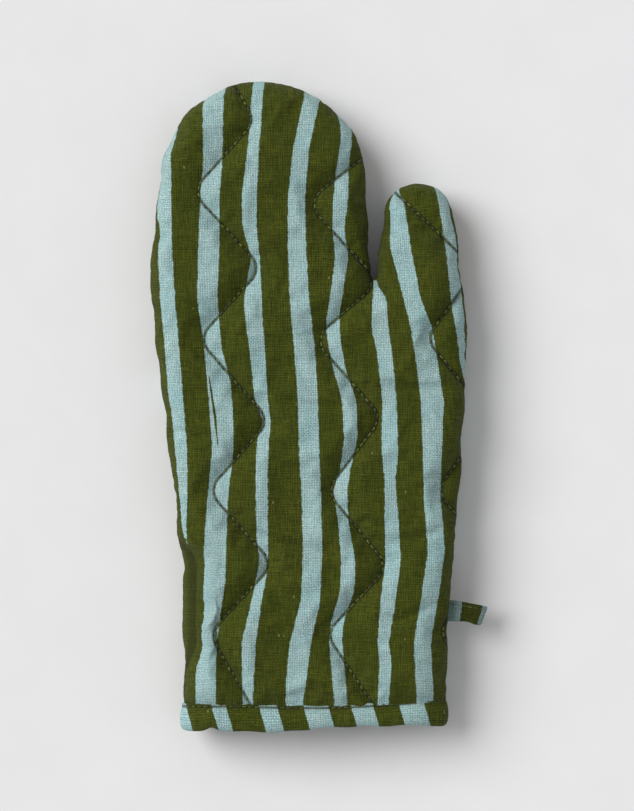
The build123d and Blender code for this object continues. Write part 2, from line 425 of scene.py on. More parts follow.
def rolled(xyz, gap):
    """Turns the left rim about its own centre, which brings the seam into sight near the cuff."""
    u = (np.clip(gap, 0, RIM) - RIM) / RIM
    v = (xyz[:, 2] - SEAM_Z) / RIM_HEIGHT
    radius = np.hypot(u, v)
    angle = np.arctan2(v, -u)
    falloff = np.clip(1 - np.abs(angle) / (math.pi / 2), 0, 1) * np.clip(radius, 0, 1) ** 2
    share = seam_turned(xyz[:, 1]) * (xyz[:, 0] < 0)
    turned = angle + SEAM_TURN * share * falloff
    out = xyz.copy()
    out[:, 0] += RIM * radius * (np.cos(angle) - np.cos(turned))
    out[:, 0] += SEAM_DRAWN_IN * share * (1 - smooth(8, RIM, gap))
    out[:, 2] = SEAM_Z + RIM_HEIGHT * radius * np.sin(turned)
    return out


def layer(z):
    """Points of one layer of a panel, from their heights."""
    return rolled(np.column_stack([plan + wander, z]), edge_gap)


# ---- Cloth simulation of the padded shell ----
CLOTH = {
    "quality": 4, "mass": 0.3, "air_damping": 2.0, "tension_stiffness": 25,
    "compression_stiffness": 25, "shear_stiffness": 8, "bending_stiffness": 1.2,
    "use_pressure": True, "uniform_pressure_force": 1.5, "shrink_min": -0.035,
    "vertex_group_mass": "held", "pin_stiffness": 1.0,
}
CLOTH_FRAMES = 14
CLOTH_MOST = 2.5


def new_mesh(name, verts_mm, faces):
    """Object in the scene from points in millimetres."""
    mesh = bpy.data.meshes.new(name)
    verts = [tuple(v) for v in np.asarray(verts_mm) * MM]
    mesh.from_pydata(verts, [], [tuple(map(int, f)) for f in faces])
    mesh.update()
    obj = bpy.data.objects.new(name, mesh)
    bpy.context.scene.collection.objects.link(obj)
    return obj


def read_vectors(source, key, count):
    """Vectors of a mesh's vertices or of one of its attributes, as rows."""
    flat = np.zeros(count * 3, np.float32)
    source.foreach_get(key, flat)
    return flat.reshape(-1, 3).astype(float)


def coordinates(mesh):
    return read_vectors(mesh.vertices, "co", len(mesh.vertices)) / MM


def simulate_shell(front_rest, back_rest):
    """Inflates both panels as one closed shell, held at every line of stitching."""
    count = len(plan)
    seam = edge_gap < 0.05
    back_index = np.arange(count) + np.where(seam, 0, count)
    faces = [tuple(t) for t in tris] + [tuple(back_index[t[::-1]]) for t in tris]
    end = np.where(plan[:, 1] < PANEL_END + 0.05)[0]
    end = end[np.argsort(plan[end, 0])]
    for a, b in zip(end[:-1], end[1:]):
        wall = dict.fromkeys([back_index[a], back_index[b], b, a])
        if len(wall) > 2:
            faces.append(tuple(wall))
    shell = new_mesh("shell_sim", np.vstack([front_rest, back_rest]), faces)
    held = seam | (wave_gap < 0.25) | (plan[:, 1] < CUFF_TOP + cuff_rise(plan[:, 0]) + 1.2)
    weight = np.where(held, 1.0, smooth(4.0, 0.5, edge_gap) * 0.9)
    group = shell.vertex_groups.new(name="held")
    for k, w in enumerate(np.concatenate([weight, weight])):
        if w > 0.01:
            group.add([k], float(w), "REPLACE")
    cloth = shell.modifiers.new("cloth", "CLOTH")
    for name, value in CLOTH.items():
        setattr(cloth.settings, name, value)
    cloth.settings.effector_weights.gravity = 0
    cloth.collision_settings.use_collision = False
    cloth.collision_settings.use_self_collision = False
    for number in range(1, CLOTH_FRAMES + 1):
        bpy.context.scene.frame_set(number)
    depsgraph = bpy.context.evaluated_depsgraph_get()
    result = coordinates(shell.evaluated_get(depsgraph).to_mesh())
    bpy.context.scene.frame_set(1)
    bpy.data.objects.remove(shell)
    return result[:count], result[back_index]


def capped(rest, moved):
    """Moved points, none of them further than CLOTH_MOST from rest."""
    shift = moved - rest
    size = np.linalg.norm(shift, axis=1)[:, None]
    return rest + shift * np.minimum(1, CLOTH_MOST / np.maximum(size, 1e-6))


def settle_on_floor(xyz, soft=1.6, floor=0.25):
    """Flattens what would sink into the table."""
    z = xyz[:, 2] - floor
    lifted = np.where(z > soft, z, soft * np.exp((np.minimum(z, soft) - soft) / soft))
    return np.column_stack([xyz[:, :2], floor + lifted * smooth(-8, 0, z)])


front_xyz, back_xyz = layer(front_z), layer(back_z)
front_sim, back_sim = simulate_shell(front_xyz, back_xyz)
front_xyz, back_xyz = capped(front_xyz, front_sim), capped(back_xyz, back_sim)
back_xyz = settle_on_floor(back_xyz)

# Lining: smooth, drawn out towards the stitches, and clear of the seam allowance
lining_rim = rim_profile(np.clip(edge_gap - RINGS[-1], 0, None), 11.0)
thin = 1.5 + 1.9 * np.clip(puffs / PUFF, 0, 1)
lining_front_z = SEAM_Z + 0.4 + (sewn_front - thin) * lining_rim
lining_back_z = SEAM_Z - 0.4 - (sewn_back - thin) * lining_rim


# ---- Printed stripes ----
# Each stripe from its top down: y, left edge and right edge
STRIPES = [
    [(150, -96, -80), (140, -96, -72.2), (135, -96, -73.8), (128, -94, -74.8), (122, -86, -74.6),
     (113, -82.5, -74.4), (105, -82, -74.4), (79, -81.3, -73.9), (54, -80, -72.4), (29, -77.6, -70.3),
     (3, -75.6, -68.3), (-22, -72.6, -66.3), (-47, -71, -66.3), (-58, -69.6, -66.8), (-70, -67.5, -66.6),
     (-78, -66.5, -66.3)],
    [(170, -59.5, -47.5), (156, -58.6, -48), (125, -58.1, -48.5), (105, -59.7, -50), (80, -60.7, -50),
     (54, -61.2, -51), (29, -57.6, -49), (13, -56.1, -44.4), (-7, -54.6, -42.9), (-22, -53.6, -42.9),
     (-47, -56.1, -45.9), (-68, -57.6, -46.5), (-88, -58.6, -47), (-98, -60.2, -48.5),
     (-119, -61.7, -51.5), (-149, -62.2, -52)],
    [(172, -32.5, -26.5), (156, -33.8, -28.2), (130, -35.8, -30), (105, -38.8, -31.2), (90, -38.3, -31.2),
     (75, -33.8, -29.7), (54, -37.8, -28.7), (44, -36.8, -28.2), (24, -34.3, -26.7), (3, -32.2, -25.6),
     (-7, -27.7, -24.1), (-17, -31.2, -25.1), (-37, -31.7, -25.6), (-68, -31.2, -25.6),
     (-78, -29.7, -25.6), (-88, -31.7, -26.7), (-98, -33.8, -28.7), (-119, -38.8, -31.7),
     (-149, -38.3, -33.2)],
    [(170, -6.5, 2.5), (156, -7.4, 0.8), (130, -12.9, -4.8), (105, -15.5, -6.9), (80, -15.5, -6.3),
     (54, -14.5, -4.8), (29, -12.4, -1.8), (3, -10.4, -0.3), (-22, -9.9, 0.3), (-47, -8.4, 1.3),
     (-73, -7.9, 1.8), (-98, -8.9, 0.8), (-119, -14.5, -3.8), (-139, -16.5, -6.3), (-149, -16.5, -7.9)],
    [(150, 10.5, 17.5), (135, 11.4, 17), (120, 8.9, 15), (105, 7.4, 15), (90, 6.9, 12.9), (75, 8.4, 15),
     (59, 6.3, 12.4), (44, 3.8, 10.4), (34, 4.3, 10.9), (19, 7.4, 13.5), (3, 11.9, 19), (-17, 12.9, 19.5),
     (-32, 10.9, 16), (-42, 7.4, 14.5), (-58, 9.9, 15), (-78, 11.4, 18.5), (-93, 10.9, 18),
     (-109, 6.3, 12.4), (-119, 5.3, 11.9), (-149, 7.9, 14.5)],
    [(65, 27.7, 29), (62, 27.8, 29.5), (54, 27.2, 34.3), (39, 26.7, 35.3), (29, 29.2, 36.8),
     (3, 32.2, 39.3), (-22, 31.7, 40.1), (-37, 33.3, 38.8), (-58, 33.3, 40.4), (-78, 33.8, 41.4),
     (-98, 31.2, 38.8), (-119, 29.7, 35.3), (-129, 30.7, 36.8), (-149, 29.7, 35.3)],
    [(120, 33, 38.5), (107, 37.5, 41), (105, 35.3, 42.9), (80, 36.3, 46.5), (54, 42.9, 51.5),
     (39, 46.5, 57.6), (24, 49, 59.7), (3, 51.5, 63.2), (-22, 52.5, 62.2), (-47, 53.1, 61.7),
     (-73, 55.1, 63.7), (-98, 51.5, 60.2), (-119, 48, 56.6), (-149, 49.5, 58.1)],
    [(120, 57.5, 62), (105, 60.2, 66.3), (80, 64.2, 70.8), (54, 66.8, 73.4), (39, 69.3, 74.9),
     (24, 71.6, 76.5), (8, 77, 84), (-5, 84, 92)],
]
# The unprinted sliver inside a stripe: y, middle and half-width
SLIVER = [
    (24, -56.2, -0.9), (15, -55.2, 0.25), (8, -54.2, 0.5), (-5, -52.2, 0.65), (-18, -50.9, 0.3),
    (-28, -50.2, -0.9),
]
BINDING_STRIPES = [(-80, -65.2), (-52, -44.9), (-28.2, -19), (-5.8, 6.9), (18.3, 29.5), (42.9, 55.6)]
LOOP_BASE_STRIPE = (50, 72.3)
LOOP_TIP_STRIPE = (83.3, 99)
NO_PRINT = -20.0
PAST_END = 400
BACK_PRINT_SHIFT = 3
BACK_STRIPE_WIDTH = 7.0


def rounded_interp(at, stations, values):
    """Smooth curve through values at falling stations."""
    fine = np.linspace(stations[-1], stations[0], 400)
    line = np.interp(fine, stations[::-1], values[::-1])
    kernel = np.hanning(15)
    kernel /= kernel.sum()
    padded = np.concatenate([np.full(7, line[0]), line, np.full(7, line[-1])])
    return np.interp(at, fine, np.convolve(padded, kernel, "valid"))


def stripe_depth(points, back):
    """Distance inside the nearest stripe, negative between stripes. On the back they run on at the top."""
    x, y = points[:, 0], points[:, 1]
    depth = np.full(len(points), NO_PRINT)
    for stripe in STRIPES:
        stations, left, right = np.array(stripe, float).T
        lo = rounded_interp(y, stations, left)
        hi = rounded_interp(y, stations, right)
        if back:
            hi = np.maximum(hi, lo + BACK_STRIPE_WIDTH)
        above = stations[0] - y + (PAST_END if back else 0)
        below = y - stations[-1] + (PAST_END if stations[-1] < -140 else 0)
        depth = np.maximum(depth, np.minimum(np.minimum(x - lo, hi - x), np.minimum(above, below)))
    return depth


def sliver_shape(points):
    """Side step from the middle of the unprinted sliver, and its half-width."""
    stations, middle, half = np.array(SLIVER, float).T
    y = points[:, 1]
    return points[:, 0] - rounded_interp(y, stations, middle), rounded_interp(y, stations, half)


def band_depth(x, bands):
    """Distance inside the nearest band across X, negative between bands."""
    return np.max([np.full(len(x), NO_PRINT), *(np.minimum(x - lo, hi - x) for lo, hi in bands)], 0)


# ---- Finished meshes ----
PARTS = ("hand", "thumb")

# Radius of the turned rim that the cloth runs round, puffed up
RIM_RADIUS = math.sqrt((RIM ** 2 + 15.0 ** 2) / 2)


def refine(obj):
    """Subdivides an object once and applies the result."""
    modifier = obj.modifiers.new("subdivide", "SUBSURF")
    modifier.levels = modifier.render_levels = 1
    modifier.boundary_smooth = "ALL"
    depsgraph = bpy.context.evaluated_depsgraph_get()
    mesh = bpy.data.meshes.new_from_object(obj.evaluated_get(depsgraph), depsgraph=depsgraph)
    obj.modifiers.clear()
    obj.data = mesh


def set_attribute(mesh, name, values):
    attribute = mesh.attributes.new(name, "FLOAT", "POINT")
    attribute.data.foreach_set("value", np.asarray(values, np.float32))


def set_cloth_map(mesh, flat_mm):
    """UV map in units of 10 mm that follows the threads of the cloth."""
    cloth_map = mesh.uv_layers.new(name="cloth")
    loops = np.zeros(len(mesh.loops), int)
    mesh.loops.foreach_get("vertex_index", loops)
    cloth_map.data.foreach_set("uv", (np.asarray(flat_mm)[loops] / 10).astype(np.float32).ravel())


def smooth_shade(mesh):
    mesh.polygons.foreach_set("use_smooth", np.ones(len(mesh.polygons), bool))
    mesh.update()


def grid_faces(rows, columns, rows_meet=False, columns_meet=False, flip=False):
    """Quads over points that lie row after row. Either way round may close on itself."""
    faces = []
    for k in range(rows if rows_meet else rows - 1):
        near, far = k * columns, (k + 1) % rows * columns
        for j in range(columns if columns_meet else columns - 1):
            beside = (j + 1) % columns
            a, b, c, d = near + j, near + beside, far + j, far + beside
            faces.append((a, b, d, c) if flip else (a, c, d, b))
    return faces


def flat_pattern(points):
    """Where each point lay on the cut cloth, before the rim was turned down."""
    gap, place, _ = nearest(points, outline_path)
    left_over = RIM - np.clip(gap, 0, RIM)
    angle = np.arccos(np.clip(left_over / RIM, -1, 1))
    arc = RIM_RADIUS * (math.pi / 2 - angle)
    away = read_off(place, lengths_along(outline_path), outline_path) - points
    away /= np.maximum(np.linalg.norm(away, axis=1), 0.3)[:, None]
    return points + away * np.clip(arc - left_over, 0, None)[:, None]


def around_rim(points, origin, gap, place):
    """Lets the print run on round the steep side, where the view from above shortens it."""
    extra = np.interp(gap, RINGS[:5], [6.5, 4.6, 2.6, 1.0, 0])
    share = smooth(1, 4, gap)[:, None]
    return points * share + origin * (1 - share) - inward_at(place) * extra[:, None]


def split_panel(obj, name, back):
    """Gives a refined panel its print and cloth map, and cuts it at the thumb line."""
    mesh = obj.data
    points = coordinates(mesh)[:, :2]
    origin = read_vectors(mesh.attributes["plan"].data, "vector", len(points))[:, :2]
    gap, place, _ = nearest(origin, outline_fine)
    printed = around_rim(points, origin, gap, place)
    if back:
        printed = printed * np.array([-1.0, 1.0]) + np.array([BACK_PRINT_SHIFT, 0])
    step, half = sliver_shape(printed)
    set_attribute(mesh, "stripe", stripe_depth(printed, back))
    set_attribute(mesh, "sliver_step", step)
    set_attribute(mesh, "sliver_half", half)
    # Distances to the stitched lines and the seam; the material darkens the cloth near them as painted
    # shade
    set_attribute(mesh, "stitch_gap", np.min([nearest(points, path)[0] for path in wave_paths], 0))
    set_attribute(mesh, "seam_gap", gap)
    set_cloth_map(mesh, flat_pattern(origin))
    mesh.attributes.remove(mesh.attributes["plan"])
    return divide(obj, name)


def divide(obj, name):
    """Separates the faces marked as thumb, and keeps the joined normals."""
    mesh = obj.data
    smooth_shade(mesh)
    normals = read_vectors(mesh.vertices, "normal", len(mesh.vertices))
    pieces = []
    for mark, suffix in enumerate(PARTS):
        piece = obj.copy()
        piece.data = mesh.copy()
        piece.name = f"{name}_{suffix}"
        bpy.context.scene.collection.objects.link(piece)
        bm = bmesh.new()
        bm.from_mesh(piece.data)
        tag = bm.verts.layers.int.new("source")
        for v in bm.verts:
            v[tag] = v.index
        others = [f for f in bm.faces if f.material_index != mark]
        bmesh.ops.delete(bm, geom=others, context="FACES")
        source = np.array([v[tag] for v in bm.verts])
        bm.verts.layers.int.remove(tag)
        for f in bm.faces:
            f.material_index = 0
        bm.to_mesh(piece.data)
        bm.free()
        piece.data.normals_split_custom_set_from_vertices([tuple(n) for n in normals[source]])
        pieces.append(piece)
    bpy.data.objects.remove(obj)
    return pieces


def panel(name, xyz, upright, keep=slice(None)):
    """One layer of a panel over the kept triangles, its thumb marked by the material index."""
    used, faces = compact(len(plan), tris[keep] if upright else tris[keep][:, ::-1])
    obj = new_mesh(name, xyz[used], faces)
    obj.data.polygons.foreach_set("material_index", is_thumb[keep].astype(np.int32))
    for _ in PARTS:
        obj.data.materials.append(None)
    return obj


def outer_cloth(name, xyz, back):
    """Printed cloth of one panel, refined and cut at the thumb line."""
    obj = panel(f"{name}_joined", xyz, not back)
    origin = obj.data.attributes.new("plan", "FLOAT_VECTOR", "POINT")
    level = np.column_stack([plan, np.zeros(len(plan))]).astype(np.float32)
    origin.data.foreach_set("vector", level.ravel())
    refine(obj)
    return split_panel(obj, name, back)


def past_ring(number):
    """Which triangles lie wholly inside a ring of the plan."""
    return (edge_gap[tris] > RINGS[number] - 0.1).all(1)


def inner_cloth(name, z, upright):
    """Lining of one panel. The two linings meet inside the seam allowance."""
    obj = panel(f"{name}_joined", layer(z), upright, past_ring(-1))
    set_cloth_map(obj.data, coordinates(obj.data)[:, :2])
    return divide(obj, name)


def surface_normals(xyz, up):
    """Outward unit normal of a panel at every point of the plan."""
    a, b, c = (xyz[tris[:, k]] for k in range(3))
    face = np.cross(b - a, c - a) * up
    total = np.zeros_like(xyz)
    for k in range(3):
        np.add.at(total, tris[:, k], face)
    return total / np.maximum(np.linalg.norm(total, axis=1), 1e-9)[:, None]


def padding_body(name, outer, inner_z, up):
    """Closed bodies, hand and thumb, between the outer cloth and the lining of a panel."""
    top = outer - surface_normals(outer, up) * 0.85
    bottom = layer(np.where(edge_gap < RINGS[-1] - 0.1, SEAM_Z + up * 0.25, inner_z + up * 0.35))
    gap = up * (top[:, 2] - bottom[:, 2])
    bottom[:, 2] = np.where(gap < 0.05, top[:, 2] - up * 0.05, bottom[:, 2])
    pieces = []
    for mark, suffix in enumerate(PARTS):
        used, own = compact(len(plan), tris[past_ring(PADDING_RING) & (is_thumb == mark)])
        n = len(used)
        edges = dict.fromkeys(edge for t in own for edge in zip(t, (t[1], t[2], t[0])))
        walls = [(b, a, a + n, b + n) for a, b in edges if (b, a) not in edges]
        faces = [tuple(t) for t in own] + [tuple(t[::-1] + n) for t in own] + walls
        if up < 0:
            faces = [f[::-1] for f in faces]
        obj = new_mesh(f"{name}_{suffix}", np.vstack([top[used], bottom[used]]), faces)
        smooth_shade(obj.data)
        pieces.append(obj)
    return pieces


front_cloth = outer_cloth("front_cloth", front_xyz, False)
back_cloth = outer_cloth("back_cloth", back_xyz, True)
front_inner = inner_cloth("front_inner_cloth", lining_front_z, False)
back_inner = inner_cloth("back_inner_cloth", lining_back_z, True)
front_padding = padding_body("front_batting", front_xyz, lining_front_z, 1)
back_padding = padding_body("back_batting", back_xyz, lining_back_z, -1)


# ---- Quilting stitches ----
# Pitch, radius and arch of each kind of stitch
QUILT_PITCH, QUILT_RADIUS, QUILT_RISE = 3.35, 0.5, 0.45
CUFF_PITCH, CUFF_RADIUS, CUFF_STITCH_RISE = 3.2, 0.27, 0.2
LOOP_PITCH, LOOP_RADIUS, LOOP_STITCH_RISE = 2.9, 0.24, 0.16
STITCH_SIDES = 6
STITCH_RINGS = 5
FRONT_SEED, BACK_SEED = 21, 22


def surface_tree(obj):
    """Search tree of an object's surface, for rays."""
    mesh = obj.data
    faces = [tuple(p.vertices) for p in mesh.polygons]
    return BVHTree.FromPolygons([v.co.copy() for v in mesh.vertices], faces)


def hit_surface(tree, origin, way):
    """Where a ray meets a surface, and the normal there; None where it misses."""
    place, normal, _, _ = tree.ray_cast(Vector(np.asarray(origin) * MM), Vector(way))
    return (None if place is None else np.array(place) / MM), normal


def facing(normal, up):
    """A normal, turned to the front side for up 1 and to the back for -1."""
    normal = np.array(normal)
    return -normal if normal[2] * up < 0 else normal


def stitch_geometry(start, end, up, radius, rise):
    """One thread stitch: a short arched capsule whose ends dive into the cloth."""
    way = end - start
    across = np.cross(up, way)
    across /= max(np.linalg.norm(across), 1e-9)
    verts = []
    for t in np.arange(STITCH_RINGS) / (STITCH_RINGS - 1):
        middle = start + way * t + up * (rise * math.sin(math.pi * t) - 0.35 * radius)
        r = radius * (0.55 + 0.45 * math.sin(math.pi * (0.12 + 0.76 * t)))
        for j in range(STITCH_SIDES):
            a = 2 * math.pi * j / STITCH_SIDES
            verts.append(middle + across * r * math.cos(a) + up * r * math.sin(a))
    faces = grid_faces(STITCH_RINGS, STITCH_SIDES, columns_meet=True, flip=True)
    faces.append(tuple(range(STITCH_SIDES))[::-1])
    faces.append(tuple(range(len(verts) - STITCH_SIDES, len(verts))))
    return np.array(verts), faces


def join_geometry(name, parts):
    """One object from many small meshes."""
    verts, faces, offset = [], [], 0
    for v, f in parts:
        verts.append(v)
        faces.extend(tuple(i + offset for i in face) for face in f)
        offset += len(v)
    obj = new_mesh(name, np.vstack(verts), faces)
    smooth_shade(obj.data)
    return obj


def quilting_stitches(name, cloth, up):
    """Running stitches along every wave on one side, split at the thumb line."""
    rng = np.random.default_rng(FRONT_SEED if up > 0 else BACK_SEED)
    trees = [surface_tree(piece) for piece in cloth]
    found = ([], [])
    for path in wave_paths:
        knots = resample(path, QUILT_PITCH)
        for a, b in zip(knots[:-1], knots[1:]):
            middle = (a + b) / 2
            mark = int(on_thumb(middle))
            way = (b - a) / np.linalg.norm(b - a)
            ends = [a + way * 0.45, b - way * (0.35 + rng.uniform(0, 0.25))]
            if middle[1] < CUFF_TOP + cuff_rise(middle[0]) + 0.8:
                continue
            hits = [hit_surface(trees[mark], (*q, SEAM_Z + 40 * up), (0, 0, -up)) for q in ends]
            (start, start_normal), (end, end_normal) = hits
            if start is None or end is None or min(abs(start_normal.z), abs(end_normal.z)) < 0.35:
                continue
            normal = facing((start_normal + end_normal).normalized(), up)
            side = rng.normal(0, 0.16, 2)
            start[:2] += side[0]
            end[:2] += side[1]
            radius = QUILT_RADIUS * rng.uniform(0.85, 1.12)
            found[mark].append(stitch_geometry(start, end, normal, radius, QUILT_RISE))
    return [join_geometry(f"{name}_{suffix}", parts) for suffix, parts in zip(PARTS, found)]


front_stitches = quilting_stitches("front_stitch_rows", front_cloth, 1)
back_stitches = quilting_stitches("back_stitch_rows", back_cloth, -1)


# ---- Cuff: mouth curve, binding, its stitches, side seam ----
MOUTH_Y = CUFF_END + 7.0
MOUTH_SINK = 1.2
STITCH_LINE = CUFF_END + 11.1

# The tape's stripes lean, and at the back they are mirrored, shifted and a little narrower
TAPE_SLANT = 0.28
BACK_TAPE_SHIFT = 7
BACK_TAPE_STRETCH = 1.03

# Section of the folded tape: height above the cuff's end, and distance out from the mouth curve
BINDING_PROFILE = [
    (12.7, 1.15), (12.5, 1.75), (11.9, 1.85), (11.1, 1.62), (10.3, 1.9), (8.5, 2.6), (6.0, 3.0),
    (3.5, 2.9), (1.5, 2.3), (0.2, 1.1), (0.0, -0.3), (0.8, -1.6), (3.0, -2.4),
    (6.0, -2.6), (9.0, -2.2), (11.0, -1.6), (11.8, -1.75), (12.4, -1.3),
]

# Section of the overlocked seam allowance: distance in from the rim, and height above the seam
SEAM_PROFILE = [
    (1.6, 1.0), (3.5, 1.35), (5.4, 1.5), (6.6, 1.35), (7.1, 0.0), (6.6, -1.35), (5.4, -1.5),
    (3.5, -1.35), (1.6, -1.0),
]


def mouth_curve():
    """Closed curve of the wall in X and Z, from the left seam over the front, with its normals."""
    left = float(np.interp(MOUTH_Y, outline_fine[:60, 1], outline_fine[:60, 0]))
    right = float(np.interp(-MOUTH_Y, -outline_fine[-60:, 1], outline_fine[-60:, 0]))
    middle, half = (left + right) / 2, (right - left) / 2
    bend = RIM * (1 - np.cos(np.linspace(0, 1.4, 60)))
    even = middle - half * np.cos(np.linspace(0, math.pi, 200))
    x = np.sort(np.concatenate([even, left + bend, right - bend]))
    gap = np.minimum(x - left, right - x).clip(0)
    points = np.column_stack([x, np.full(len(x), MOUTH_Y)])
    top = np.column_stack([x, SEAM_Z + sewn_height(points, gap, True)])
    bottom = np.column_stack([x, SEAM_Z - sewn_height(points, gap, False)])
    loop = np.vstack([top, bottom[::-1]])
    apart = np.linalg.norm(np.diff(loop, axis=0), axis=1) > 0.02
    loop = loop[np.concatenate([[True], apart])]
    loop = resample(np.vstack([loop, loop[:1]]), 1.6)
    for _ in range(6):
        loop[:-1] = (loop[:-1] * 2 + np.roll(loop[:-1], 1, 0) + np.roll(loop[:-1], -1, 0)) / 4
        loop[-1] = loop[0]
    way = np.gradient(loop, axis=0)
    way[0] = way[-1] = loop[1] - loop[-2]
    way /= np.linalg.norm(way, axis=1)[:, None]
    normal = np.stack([-way[:, 1], way[:, 0]], 1)
    return loop - normal * MOUTH_SINK, normal, lengths_along(loop)


def edge_droop(x, front):
    """How far the folded lower edge stands above the cuff's end, with a notch at the front."""
    rise = np.interp(x, [-62, -32, -8, 24, 42, 54, 62], [1.1, 0.3, 1.4, 3.7, 3.6, 3.3, 2.6])
    notch = np.exp(-((x + 54.0) / 2.6) ** 2) * 1.7
    wave = 0.35 * np.sin(x / 7.3 + 1.0) + 0.25 * np.sin(x / 3.1)
    return rise + wave + np.where(front, notch, 0.3)


def no_sliver(mesh):
    """Tape has neither an unprinted sliver nor a seam near it."""
    for name, value in (("seam_gap", 20.0), ("sliver_step", 20.0), ("sliver_half", -1.0)):
        set_attribute(mesh, name, np.full(len(mesh.vertices), value))


def binding_mesh():
    """Tape folded round the mouth of the cuff, with its overlap at the front left."""
    along, base, normal = curve_along[:-1], curve[:-1], curve_normal[:-1]
    n = len(base)
    front = base[:, 1] > SEAM_Z
    droop = edge_droop(base[:, 0], front)
    stitch = 0.12 * np.sin(along * 2 * math.pi / CUFF_PITCH)
    plump = 0.10 * ripple(along[:, None], 26, 31)
    overlap = np.where(front, smooth(-49.5, -51, base[:, 0]) * 0.75, 0)
    verts, flat = [], []
    for k, (height, out) in enumerate(BINDING_PROFILE):
        share = smooth(10.5, 1.0, height)
        y = CUFF_END + height + droop * share + cuff_rise(base[:, 0]) * (1 - share)
        body = smooth(11.6, 8.0, height)
        reach = out * (1 + plump * body)
        if out > 0:
            reach = reach + stitch * (1 - body)
        if out > 0.5:
            reach = reach + overlap
        x, z = (base + normal * reach[:, None]).T
        verts.append(np.column_stack([x, y, z]))
        flat.append(np.column_stack([along + curve[0, 0], np.full(n, k * 1.8)]))
    obj = new_mesh("cuff_tape", np.vstack(verts), grid_faces(len(BINDING_PROFILE), n, columns_meet=True))
    set_cloth_map(obj.data, np.vstack(flat))
    refine(obj)
    smooth_shade(obj.data)
    x, y, z = coordinates(obj.data).T
    slant = TAPE_SLANT * (y - MOUTH_Y)
    front_bands = band_depth(x + slant, BINDING_STRIPES)
    back_bands = band_depth(BACK_TAPE_SHIFT - x * BACK_TAPE_STRETCH + slant, BINDING_STRIPES)
    set_attribute(obj.data, "stripe", np.where(z > SEAM_Z, front_bands, back_bands))
    # Distance to the topstitch line; the material darkens the tape near it as painted shade
    set_attribute(obj.data, "stitch_gap", np.abs(y - cuff_rise(x) - STITCH_LINE) + 0.25)
    no_sliver(obj.data)
    return obj


def binding_stitches(tape):
    """Topstitches all round the cuff, close to the binding's sewn edge."""
    tree = surface_tree(tape)
    count = int(curve_along[-1] / CUFF_PITCH)
    at = np.linspace(0, curve_along[-1], count + 1)
    knots = read_off(at, curve_along, curve)
    normals = read_off(at, curve_along, curve_normal)
    parts = []
    for k in range(count):
        out = np.array([normals[k, 0], 0, normals[k, 1]])
        out /= np.linalg.norm(out)
        ends = []
        for t in (0.1, 0.86):
            x, z = knots[k] + (knots[k + 1] - knots[k]) * t
            origin = np.array([x, cuff_rise(x) + STITCH_LINE + 0.05, z]) + out * 8
            ends.append(hit_surface(tree, origin, -out)[0])
        if all(end is not None for end in ends):
            parts.append(stitch_geometry(*ends, out, CUFF_RADIUS, CUFF_STITCH_RISE))
    return join_geometry("cuff_stitches", parts)


def seam_fin():
    """Overlocked seam allowance that lies inside the pocket along the side seam, in three lengths."""
    path = resample(outline_path[outline_path[:, 1] > CUFF_TOP - 4], 2.4)
    inward = -path_normals(path)
    along = lengths_along(path)
    wobble = 0.45 * np.sin(along / 4.1) + 0.3 * ripple(along[:, None], 18, 41)
    rows = []
    for gap, z in SEAM_PROFILE:
        depth = gap + wobble * smooth(2, 7, gap)
        point = path + inward * depth[:, None]
        rows.append(rolled(np.column_stack([point, SEAM_Z + z + 0.25 * wobble]), depth))
    first, last = np.where(on_thumb(path))[0][[0, -1]]
    spans = {"hand_left": (0, first), "thumb": (first, last), "hand_right": (last, len(path) - 1)}
    pieces = []
    for label, (lo, hi) in spans.items():
        width = hi - lo + 1
        starts = [k * width for k in range(len(rows))]
        faces = grid_faces(len(rows), width, rows_meet=True)
        faces.append(tuple(starts))
        faces.append(tuple(k + width - 1 for k in starts)[::-1])
        obj = new_mesh(f"seam_allowance_{label}", np.vstack([r[lo:hi + 1] for r in rows]), faces)
        smooth_shade(obj.data)
        pieces.append(obj)
    return pieces


curve, curve_normal, curve_along = mouth_curve()
binding = binding_mesh()
cuff_stitches = binding_stitches(binding)
seam_parts = seam_fin()


# ---- Hanging loop of folded tape ----
# Upper half of the folded tape, seen along Y: x, and height above the seam
LOOP_FOLD = [
    (58.0, 0.9), (63.0, 0.9), (66.5, 1.0), (70.0, 1.5), (74.5, 2.2), (79.0, 2.6), (82.6, 2.5),
    (84.9, 1.6), (85.6, 0.2),
]
LOOP_HALF_THICKNESS = 0.55
LOOP_TAPE_WIDTH = 12
LOOP_ROWS = 13
LOOP_TOP = LOOP_Y + 5.8
LOOP_BOTTOM = LOOP_Y - 5.2


def loop_share(x):
    """From 0 where the loop leaves the seam to 1 at its tip."""
    return np.clip((x - 66.0) / 19.6, 0, 1)


def loop_top(share):
    """Upper edge of the loop, which slants down towards the tip."""
    return LOOP_TOP - 3.6 * share ** 1.15


